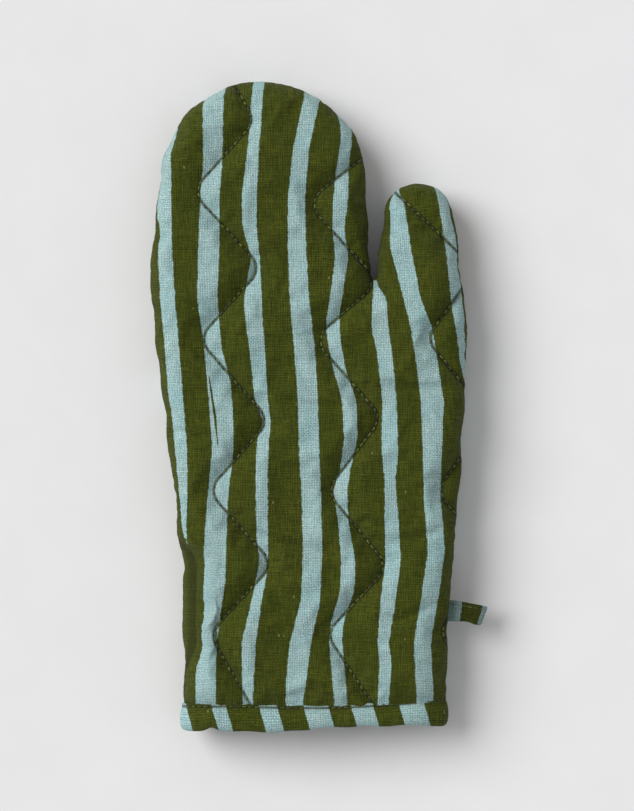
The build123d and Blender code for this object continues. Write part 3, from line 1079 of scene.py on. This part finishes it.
def loop_mesh():
    """Tape that leaves the seam, bends round at the tip and comes back beneath."""
    path = np.array(LOOP_FOLD + [(x, -z) for x, z in LOOP_FOLD[-2::-1]], float)
    path = resample(path, 1.1)
    normal = path_normals(path)
    place = lengths_along(path)
    outer, inner, flat = [], [], []
    for v in np.linspace(0, 1, LOOP_ROWS):
        half = LOOP_HALF_THICKNESS * (1 - 0.55 * max(0, abs(v - 0.5) * 2 - 0.8) / 0.2)
        ridge = 0.16 * math.exp(-((v - 0.2) / 0.08) ** 2) - 0.2 * math.exp(-((v - 0.13) / 0.03) ** 2)
        for rows, step in ((outer, half + ridge), (inner, -half)):
            x, z = (path + normal * step).T
            s = loop_share(x)
            top = loop_top(s)
            bottom = LOOP_BOTTOM - 0.2 * s - 1.9 * smooth(0.4, 1.0, s)
            x = x - 3.4 * v * smooth(0.35, 1.0, s)
            lift = 1.1 * s * (0.5 - v) + 0.5 * np.sin(s * 3) * (v - 0.3)
            rows.append(np.column_stack([x, top + (bottom - top) * v, SEAM_Z + z + lift]))
        flat.append(np.column_stack([place, np.full(len(path), v * LOOP_TAPE_WIDTH)]))
    n = len(path)
    under = n * LOOP_ROWS
    faces = grid_faces(LOOP_ROWS, n)
    faces += [tuple(i + under for i in f) for f in grid_faces(LOOP_ROWS, n, flip=True)]
    for a in range(n - 1):
        b = a + under - n
        faces.append((a, a + 1, a + 1 + under, a + under))
        faces.append((b, b + under, b + 1 + under, b + 1))
    for a in range(0, under - n, n):
        b = a + n - 1
        faces.append((a, a + under, a + under + n, a + n))
        faces.append((b, b + n, b + under + n, b + under))
    obj = new_mesh("loop_tape", np.vstack(outer + inner), faces)
    set_cloth_map(obj.data, np.vstack(flat + flat))
    refine(obj)
    smooth_shade(obj.data)
    x, y, _ = coordinates(obj.data).T
    base = band_depth(x - 0.12 * (y + 104), [LOOP_BASE_STRIPE])
    tip = band_depth(x - 0.33 * (y + 101.3), [LOOP_TIP_STRIPE])
    set_attribute(obj.data, "stripe", np.maximum(base, tip))
    set_attribute(obj.data, "stitch_gap", np.full(len(x), 9.0))
    no_sliver(obj.data)
    return obj


def loop_stitches(tape):
    """A row of stitches along the loop's upper edge, on both sides."""
    tree = surface_tree(tape)
    parts = []
    for up in (1, -1):
        for start_x in 67.0 + LOOP_PITCH * np.arange(6):
            hits = []
            for x in (start_x, start_x + 2.3):
                origin = (x, loop_top(loop_share(x)) - 1.9, SEAM_Z + 20 * up)
                hits.append(hit_surface(tree, origin, (0, 0, -up)))
            (start, normal), (end, _) = hits
            if start is not None and end is not None:
                parts.append(stitch_geometry(start, end, facing(normal, up), LOOP_RADIUS, LOOP_STITCH_RISE))
    return join_geometry("loop_stitches", parts)


loop_tape = loop_mesh()
loop_thread = loop_stitches(loop_tape)


# ---- Materials ----
def srgb(*levels):
    """Linear colour from levels of 0 to 255."""
    shares = [c / 255 for c in levels]
    return (*(c / 12.92 if c <= 0.04045 else ((c + 0.055) / 1.055) ** 2.4 for c in shares), 1)


class Nodes:
    """A material whose shader nodes are added and linked by short calls."""

    def __init__(self, name):
        self.material = bpy.data.materials.new(name)
        self.material.use_nodes = True
        self.tree = self.material.node_tree
        self.tree.nodes.clear()
        self.shader = self.add("ShaderNodeBsdfPrincipled")
        self.add("ShaderNodeOutputMaterial", {"Surface": self.shader.outputs["BSDF"]})

    def add(self, kind, inputs=(), **values):
        """Adds a node. An input is a number, a colour or another node's output."""
        node = self.tree.nodes.new(kind)
        for key, value in values.items():
            setattr(node, key, value)
        self.feed(node, inputs)
        return node

    def feed(self, node, inputs):
        for socket, value in dict(inputs).items():
            if hasattr(value, "is_output"):
                self.tree.links.new(value, node.inputs[socket])
            else:
                node.inputs[socket].default_value = value

    def math(self, operation, a, b=0.0):
        return self.add("ShaderNodeMath", {0: a, 1: b}, operation=operation).outputs[0]

    def plus(self, a, b):
        return self.math("ADD", a, b)

    def minus(self, a, b):
        return self.math("SUBTRACT", a, b)

    def times(self, a, b):
        return self.math("MULTIPLY", a, b)

    def attribute(self, name):
        return self.add("ShaderNodeAttribute", attribute_name=name).outputs["Fac"]

    def object_place(self):
        return self.add("ShaderNodeTexCoord").outputs["Object"]

    def noise(self, vector, scale, detail=3.0, roughness=0.5, output="Fac"):
        inputs = {"Vector": vector, "Scale": scale, "Detail": detail, "Roughness": roughness}
        return self.add("ShaderNodeTexNoise", inputs).outputs[output]

    def mix(self, factor, a, b, mode="MIX"):
        inputs = {0: factor, 6: a, 7: b}
        return self.add("ShaderNodeMix", inputs, data_type="RGBA", blend_type=mode).outputs[2]

    def remap(self, value, lo, hi, to_lo=0.0, to_hi=1.0):
        inputs = {"Value": value, "From Min": lo, "From Max": hi, "To Min": to_lo, "To Max": to_hi}
        return self.add("ShaderNodeMapRange", inputs, interpolation_type="SMOOTHSTEP").outputs[0]

    def stretched(self, vector, sx, sy):
        return self.add("ShaderNodeMapping", {"Vector": vector, "Scale": (sx, sy, 1)}).outputs[0]

    def slub(self, vector, long, short, roughness):
        """Uneven threads both ways."""
        warp = self.noise(self.stretched(vector, long, short), 1.0, 3.0, roughness)
        weft = self.noise(self.stretched(vector, short, long), 1.0, 3.0, roughness)
        return self.plus(warp, weft)

    def finish(self, colour, height, strength, distance, **numbers):
        """Colour and bump of the surface, and the shader's own numbers."""
        bump = {"Strength": strength, "Distance": distance, "Height": height}
        normal = self.add("ShaderNodeBump", bump).outputs[0]
        self.feed(self.shader, {"Base Color": colour, "Normal": normal})
        self.feed(self.shader, {key.replace("_", " "): value for key, value in numbers.items()})
        return self.material


def weave_height(n, uv, pitch_mm):
    """Plain weave: warp and weft threads pass over and under each other."""
    wobble = n.noise(uv, 1.3, 2.0, output="Color")
    shifted = n.add("ShaderNodeMix", {0: 0.05, 4: uv, 5: wobble}, data_type="VECTOR").outputs[1]
    separate = n.add("ShaderNodeSeparateXYZ", {0: shifted})
    turns = 10.0 / pitch_mm * math.pi
    u, v = (n.times(separate.outputs[k], turns) for k in (0, 1))
    warp, weft = (n.math("ABSOLUTE", n.math("SINE", phase)) for phase in (u, v))
    over = n.times(n.math("COSINE", u), n.math("COSINE", v))
    pick = n.math("GREATER_THAN", over, 0.0)
    return n.plus(n.times(pick, warp), n.times(n.minus(1.0, pick), weft))


def printed_cloth(name, tone):
    """Two-colour block print on plain weave. Tone mixes in a dark colour as painted shade, for a piece that
    lies in the shade of the mitt.
    """
    n = Nodes(name)
    uv = n.add("ShaderNodeUVMap", uv_map="cloth").outputs[0]
    # Print: uneven edges, and the sliver that the block left bare
    edge_noise = n.minus(n.noise(uv, 3.0, 4.0, 0.6), 0.5)
    fine_noise = n.minus(n.noise(n.stretched(uv, 9.0, 5.0), 1.0, 2.0, 0.6), 0.5)
    depth = n.plus(n.attribute("stripe"), n.times(edge_noise, 1.5))
    depth = n.plus(depth, n.times(fine_noise, 0.55))
    sliver = n.minus(n.math("ABSOLUTE", n.attribute("sliver_step")), n.attribute("sliver_half"))
    sliver = n.plus(sliver, n.times(edge_noise, 0.4))
    mask = n.times(n.remap(depth, -0.28, 0.28), n.remap(sliver, -0.15, 0.15))
    # Both colours vary with the thread and in broad patches
    slub = n.slub(uv, 14.0, 1.1, 0.65)
    broad = n.noise(uv, 0.35, 3.0, 0.6)
    green = n.mix(n.remap(slub, 0.72, 1.28), srgb(52, 60, 10), srgb(85, 92, 25))
    green = n.mix(n.times(n.remap(broad, 0.35, 0.7), 0.35), green, srgb(56, 66, 12))
    blue = n.mix(n.remap(slub, 0.75, 1.3), srgb(148, 182, 182), srgb(182, 208, 206))
    blue = n.mix(n.times(n.remap(broad, 0.4, 0.75), 0.4), blue, srgb(148, 194, 198))
    colour = n.mix(mask, green, blue)
    # Painted shade in the low points of the weave, times uneven tone of its knots
    weave = weave_height(n, uv, 0.8)
    knots = n.noise(uv, 13.0, 2.0, 0.7)
    weave_shade_knot_tone = n.times(n.remap(weave, 0.1, 0.85, 0.4, 1.16), n.remap(knots, 0.3, 0.7, 0.74, 1.24))
    shade_tone_grey = n.add("ShaderNodeCombineColor", {k: weave_shade_knot_tone for k in range(3)}).outputs[0]
    colour = n.mix(1.0, colour, shade_tone_grey, "MULTIPLY")
    # Pale specks, and painted shade that darkens the cloth in the hollow of each stitched line and along
    # the seam
    cells = {"Vector": n.stretched(uv, 1.6, 0.9), "Scale": 1.0, "Randomness": 1.0}
    specks = n.add("ShaderNodeTexVoronoi", cells, feature="F1").outputs["Distance"]
    some = n.math("GREATER_THAN", n.noise(uv, 0.9, 1.0), 0.55)
    dot = n.times(n.remap(specks, 0.085, 0.05), some)
    colour = n.mix(n.times(dot, 0.55), colour, srgb(150, 150, 96))
    # Painted shade: dark colour mixed in near the stitched lines and the seam, where the cloth dips
    stitch_line_shade = n.remap(n.attribute("stitch_gap"), 0.35, 1.25, 0.74, 0.0)
    seam = n.remap(n.attribute("seam_gap"), 0.1, 0.9, 0.45, 0.0)
    colour = n.mix(n.math("MAXIMUM", stitch_line_shade, seam), colour, srgb(22, 28, 6))
    # Painted shade: the loop's copy of the cloth is darkened because the tape lies in the mitt's shade
    if tone:
        colour = n.mix(tone, colour, srgb(22, 20, 4))
    fuzz = n.times(n.noise(uv, 30.0, 2.0, 0.6), 0.5)
    height = n.plus(n.plus(weave, n.times(slub, 0.5)), fuzz)
    return n.finish(colour, height, 0.8, 0.0003, Roughness=0.92, Specular_IOR_Level=0.12,
                    Sheen_Weight=0.04, Sheen_Roughness=0.5)


def plain_cloth(name, dark, light, pitch):
    """Undyed cotton in a plain weave."""
    n = Nodes(name)
    scaled = n.stretched(n.object_place(), 100.0, 100.0)
    slub = n.slub(scaled, 12, 1.0, 0.6)
    weave = weave_height(n, scaled, pitch)
    colour = n.mix(n.remap(slub, 0.7, 1.3), srgb(*dark), srgb(*light))
    # Painted shade: darker colour in the low points of the weave
    colour = n.mix(n.remap(weave, 0.0, 0.6, 0.25, 0.0), colour, srgb(*[c * 0.6 for c in dark]))
    return n.finish(colour, n.plus(weave, slub), 0.5, 0.0002, Roughness=0.93,
                    Specular_IOR_Level=0.15, Sheen_Weight=0.1)


def thread_material():
    """Twisted green sewing thread."""
    n = Nodes("sewing_thread")
    coords = n.object_place()
    waves = {"Vector": coords, "Scale": 700.0, "Distortion": 1.5}
    twist = n.add("ShaderNodeTexWave", waves, wave_type="BANDS", bands_direction="DIAGONAL")
    twist = twist.outputs["Fac"]
    tone = n.noise(n.stretched(coords, 260, 260), 1.0, 2.0)
    colour = n.mix(n.remap(tone, 0.4, 0.62), srgb(42, 50, 10), srgb(98, 108, 38))
    # Painted shade: darker bands in the grooves of the twist
    colour = n.mix(n.times(twist, 0.3), colour, srgb(30, 38, 10))
    return n.finish(colour, twist, 0.5, 0.00008, Roughness=0.6, Sheen_Weight=0.2)


def batting_material():
    """Loose cotton fibres."""
    n = Nodes("cotton_batting")
    coords = n.stretched(n.object_place(), 100, 100)
    fibres = n.noise(n.stretched(coords, 5, 2), 1.0, 8.0, 0.75)
    colour = n.mix(n.remap(fibres, 0.3, 0.7), srgb(205, 200, 186), srgb(240, 237, 228))
    return n.finish(colour, fibres, 0.7, 0.0006, Roughness=1.0, Sheen_Weight=0.3)


def finish_with(objs, material):
    for obj in objs:
        obj.data.materials.clear()
        obj.data.materials.append(material)


print_mat = printed_cloth("printed_cloth", 0.0)
lining_mat = plain_cloth("lining_cotton", (176, 166, 140), (206, 198, 176), 0.9)
seam_mat = plain_cloth("overlocked_edge", (150, 142, 116), (190, 182, 156), 1.2)
finish_with([*front_cloth, *back_cloth], print_mat)
finish_with([binding], print_mat)
# The loop's cloth is the print darkened by painted shade
finish_with([loop_tape], printed_cloth("shaded_printed_loop_cloth", 0.42))
finish_with([*front_inner, *back_inner], lining_mat)
finish_with(seam_parts, seam_mat)
finish_with([*front_padding, *back_padding], batting_material())
finish_with([*front_stitches, *back_stitches, cuff_stitches, loop_thread], thread_material())


# ---- Pieces in place of the CAD parts, three of them attached to the palm body ----
def metres(x, y, z):
    return (x * MM, y * MM, z * MM)


def fold_with_fingers(obj):
    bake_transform(obj)


def fold_with_thumb(obj):
    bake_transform(obj)


def bind(pieces, side, layer_name):
    """Bakes the hand and thumb pieces of a layer in place and hides the CAD nodes that they stand for."""
    hand, thumb = pieces
    fold_with_fingers(hand)
    fold_with_thumb(thumb)
    hand_nodes = [f"{side}_{layer_name}_palm", f"{side}_{layer_name}_fingers"]
    thumb_nodes = [f"{side}_{layer_name}_thumb"]
    if side == "front":
        hand_nodes.append(f"finger_fold_{layer_name}")
        thumb_nodes.append(f"thumb_fold_{layer_name}")
    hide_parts(*hand_nodes)
    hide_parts(*thumb_nodes)


for layer_name, front_pieces, back_pieces in (
    ("outer", front_cloth, back_cloth), ("padding", front_padding, back_padding),
    ("lining", front_inner, back_inner), ("quilting", front_stitches, back_stitches),
):
    bind(front_pieces, "front", layer_name)
    bind(back_pieces, "back", layer_name)

hand_left, thumb_part, hand_right = seam_parts
fold_with_fingers(hand_left)
fold_with_thumb(thumb_part)
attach(hand_right, "palm")
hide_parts("side_seam_palm", "side_seam_fingers")
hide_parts("side_seam_thumb")
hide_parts("side_seam_palm")
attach(binding, "palm")
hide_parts("cuff_binding")
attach(cuff_stitches, "palm")
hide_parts("binding_stitching")
loop_start = metres(LOOP_ROOT_X - 3.1, LOOP_Y, SEAM_Z)
loop_end = metres(LOOP_ROOT_X + 2.9, LOOP_Y, SEAM_Z)
for obj in (loop_tape, loop_thread):
    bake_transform(obj)
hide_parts("hanging_loop", "loop_sewn_ends")


# ---- Stage, lights and camera ----
FLOOR_HALF = 3
CAMERA_HEIGHT = 2.5
FRAME_HEIGHT = 0.4117
SENSOR = 36.0


def make_floor():
    n = Nodes("pale_floor")
    grain = n.noise(n.stretched(n.object_place(), 30, 30), 1.0, 4.0)
    colour = n.mix(n.remap(grain, 0.3, 0.7), srgb(231, 231, 231), srgb(233, 233, 233))
    n.feed(n.shader, {"Base Color": colour, "Roughness": 0.9})
    mesh = bpy.data.meshes.new("floor")
    corners = [(x * FLOOR_HALF, y * FLOOR_HALF, 0) for x, y in ((-1, -1), (1, -1), (1, 1), (-1, 1))]
    mesh.from_pydata(corners, [], [(0, 1, 2, 3)])
    floor = bpy.data.objects.new("floor", mesh)
    floor.data.materials.append(n.material)
    bpy.context.scene.collection.objects.link(floor)


def sun_light(name, towards, strength, angle):
    light = bpy.data.lights.new(name, "SUN")
    light.energy = strength
    light.angle = angle
    obj = bpy.data.objects.new(name, light)
    obj.location = towards
    obj.rotation_euler = (-Vector(towards)).to_track_quat("-Z", "Y").to_euler()
    bpy.context.scene.collection.objects.link(obj)


def soft_sky(strength):
    world = bpy.data.worlds.new("studio")
    world.use_nodes = True
    background = world.node_tree.nodes["Background"]
    background.inputs[0].default_value = (1, 1, 1, 1)
    background.inputs[1].default_value = strength
    bpy.context.scene.world = world


def overhead_camera():
    """Camera straight above the mitt, whose picture is FRAME_HEIGHT tall at the seam."""
    camera = bpy.data.cameras.new("camera")
    camera.sensor_width = SENSOR
    camera.lens = SENSOR * (CAMERA_HEIGHT - SEAM_Z * MM) / FRAME_HEIGHT
    obj = bpy.data.objects.new("camera", camera)
    obj.location = (-0.0008, 0.0005, CAMERA_HEIGHT)
    bpy.context.scene.collection.objects.link(obj)
    bpy.context.scene.camera = obj


make_floor()
sun_light("key", (-1.75, 0.95, 1.85), 2.5, 0.7)
soft_sky(0.45)
overhead_camera()
bpy.context.scene.view_settings.view_transform = "Standard"

bpy.context.view_layer.update()
